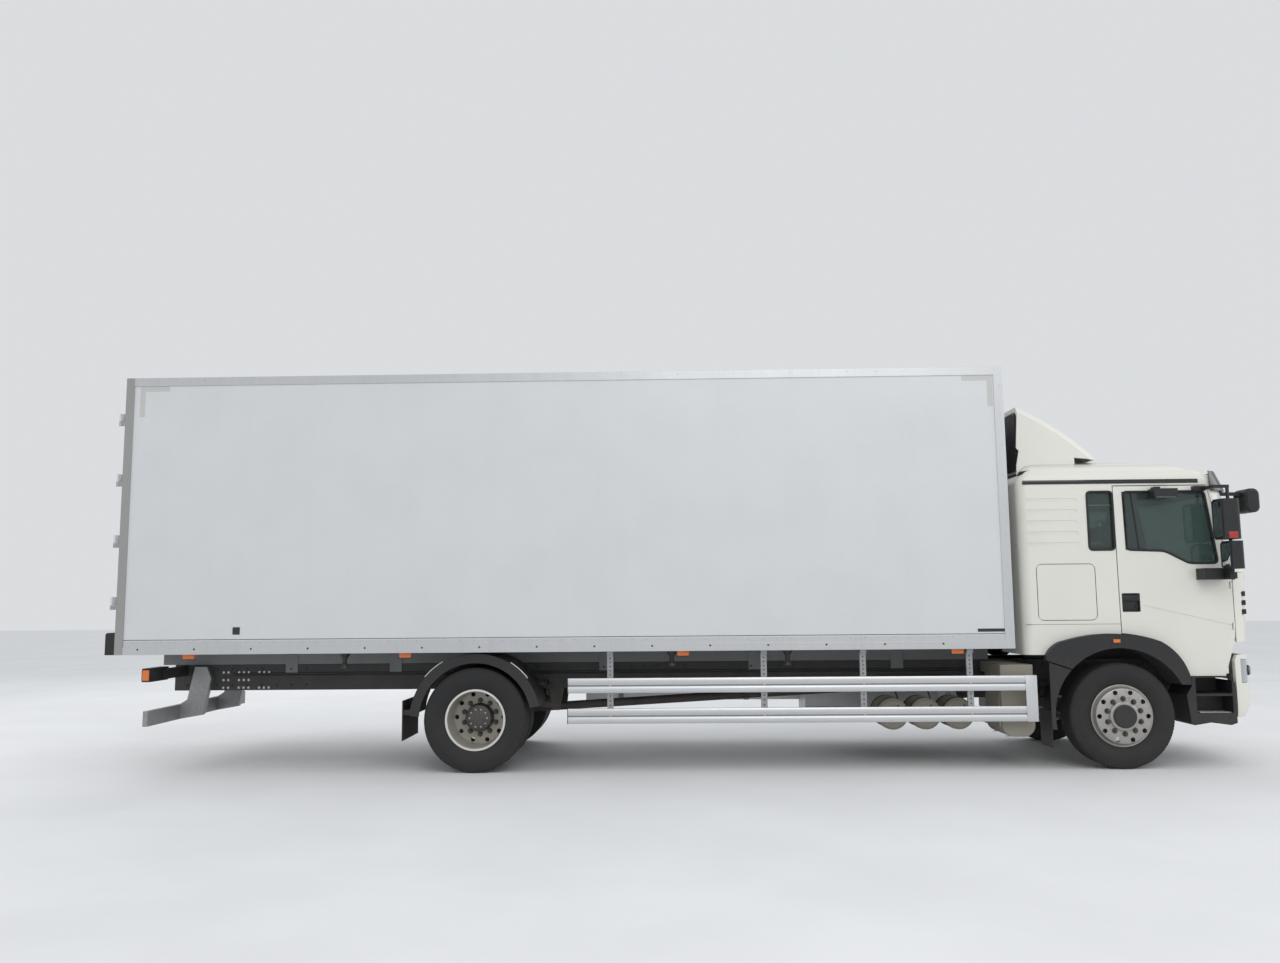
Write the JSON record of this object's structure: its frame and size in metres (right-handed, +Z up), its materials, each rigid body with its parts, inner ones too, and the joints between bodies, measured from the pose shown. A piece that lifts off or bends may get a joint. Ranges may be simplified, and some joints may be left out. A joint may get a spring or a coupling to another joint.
{
  "type": "refrigerated truck",
  "caption": "Rigid refrigerated truck with a tilting sleeper cab, an insulated box body with rear doors, steered front wheels and twin rear wheels.",
  "frame": {"origin": "on the ground, under the middle of the truck's whole length and width", "axes": "+X forward along the frame, +Y to the left, +Z up"},
  "size_m": [11.48, 2.98, 3.95],
  "materials": {
    "cab_paint": "gloss",
    "box_panel": "satin",
    "box_lining": "satin",
    "edge_rail": "satin",
    "stainless": "brushed",
    "black_plastic": "matte",
    "frame_paint": "satin",
    "subframe_paint": "satin",
    "galvanised": "matte",
    "tank_paint": "satin",
    "fuel_alloy": "satin",
    "tyre_rubber": "matte",
    "rim_alloy": "worn",
    "rim_paint": "satin",
    "cast_parts": "matte",
    "buffer_rubber": "matte",
    "glazing": "clear",
    "lens": "gloss",
    "lamp_red": "gloss",
    "lamp_orange": "gloss",
    "seat_fabric": "matte",
    "dash_plastic": "matte"
  },
  "bodies": {
    "chassis": {"frame_rails": "frame_paint", "crossmembers": "frame_paint", "subframe": "subframe_paint", "box_floor": "box_lining", "box_wall_right": "box_panel", "box_wall_left": "box_panel", "box_front_wall": "box_panel", "box_roof": "box_panel", "box_edge_rails": "edge_rail", "portal_posts": "stainless", "portal_beams": "stainless", "dock_buffers": "buffer_rubber", "bumper": "cab_paint", "headlamps": "lens", "step_wells": "black_plastic", "front_mudguards": "black_plastic", "front_axle_beam": "cast_parts", "rear_axle_beam": "cast_parts", "suspension": "cast_parts", "driveline": "cast_parts", "air_tanks": "tank_paint", "silencer": "tank_paint", "fuel_tank": "fuel_alloy", "guard_rails": "edge_rail", "guard_posts": "galvanised", "underrun": "galvanised", "rear_mudguards": "black_plastic", "rear_lamps": "lamp_red", "side_markers": "lamp_orange"},
    "cab": {"cab_shell": "cab_paint", "cab_roof": "cab_paint", "front_panel": "cab_paint", "grille": "black_plastic", "cab_glass": "glazing", "arch_flares": "black_plastic", "roof_fairing": "cab_paint", "sun_visor": "black_plastic", "front_mirror": "black_plastic", "seats": "seat_fabric", "dashboard": "dash_plastic"},
    "cab_door_right": {"door_right": "cab_paint", "door_window_right": "glazing", "mirrors_right": "black_plastic"},
    "cab_door_left": {"door_left": "cab_paint", "door_window_left": "glazing", "mirrors_left": "black_plastic"},
    "knuckle_right": {"knuckle_right": "cast_parts"},
    "knuckle_left": {"knuckle_left": "cast_parts"},
    "tie_rod": {"tie_rod": "cast_parts"},
    "front_wheel_right": {"tyre_front_right": "tyre_rubber", "rim_front_right": "rim_alloy"},
    "front_wheel_left": {"tyre_front_left": "tyre_rubber", "rim_front_left": "rim_alloy"},
    "rear_wheels_right": {"tyres_rear_right": "tyre_rubber", "rims_rear_right": "rim_paint"},
    "rear_wheels_left": {"tyres_rear_left": "tyre_rubber", "rims_rear_left": "rim_paint"},
    "rear_door_right": {"rear_door_right": "box_panel"},
    "rear_door_left": {"rear_door_left": "box_panel"}
  },
  "joints": [
    {"name": "steer_right", "type": "hinge", "parent": "chassis", "child": "knuckle_right", "pos_m": [4.23, -0.87, 0.507], "axis": [0, 0, 1], "range_deg": [-38, 38]},
    {"name": "steer_left", "type": "hinge", "parent": "chassis", "child": "knuckle_left", "pos_m": [4.23, 0.87, 0.507], "axis": [0, 0, 1], "range_deg": [-38, 38]},
    {"name": "tie_rod_pivot", "type": "hinge", "parent": "knuckle_right", "child": "tie_rod", "pos_m": [4.05, -0.87, 0.37], "axis": [0, 0, 1], "range_deg": [-38, 38]},
    {"name": "front_wheel_right_spin", "type": "hinge", "parent": "knuckle_right", "child": "front_wheel_right", "pos_m": [4.23, -1.034, 0.507], "axis": [0, 1, 0], "continuous": true},
    {"name": "front_wheel_left_spin", "type": "hinge", "parent": "knuckle_left", "child": "front_wheel_left", "pos_m": [4.23, 1.034, 0.507], "axis": [0, 1, 0], "continuous": true},
    {"name": "rear_wheels_right_spin", "type": "hinge", "parent": "chassis", "child": "rear_wheels_right", "pos_m": [-2.07, -0.912, 0.507], "axis": [0, 1, 0], "continuous": true},
    {"name": "rear_wheels_left_spin", "type": "hinge", "parent": "chassis", "child": "rear_wheels_left", "pos_m": [-2.07, 0.912, 0.507], "axis": [0, 1, 0], "continuous": true},
    {"name": "cab_tilt", "type": "hinge", "parent": "chassis", "child": "cab", "pos_m": [5.47, 0, 1.02], "axis": [0, 1, 0], "range_deg": [0, 60]},
    {"name": "cab_door_right_hinge", "type": "hinge", "parent": "cab", "child": "cab_door_right", "pos_m": [5.385, -1.119, 1.5], "axis": [0, 0, 1], "range_deg": [0, 70]},
    {"name": "cab_door_left_hinge", "type": "hinge", "parent": "cab", "child": "cab_door_left", "pos_m": [5.385, 1.119, 1.5], "axis": [0, 0, -1], "range_deg": [0, 70]},
    {"name": "rear_door_right_hinge", "type": "hinge", "parent": "chassis", "child": "rear_door_right", "pos_m": [-5.696, -1.29, 2.6], "axis": [0, 0, 1], "range_deg": [0, 270]},
    {"name": "rear_door_left_hinge", "type": "hinge", "parent": "chassis", "child": "rear_door_left", "pos_m": [-5.696, 1.29, 2.6], "axis": [0, 0, -1], "range_deg": [0, 270]}
  ],
  "couplings": [
    {"joint": "steer_left", "follows": "steer_right", "ratio": 1},
    {"joint": "tie_rod_pivot", "follows": "steer_right", "ratio": -1}
  ]
}
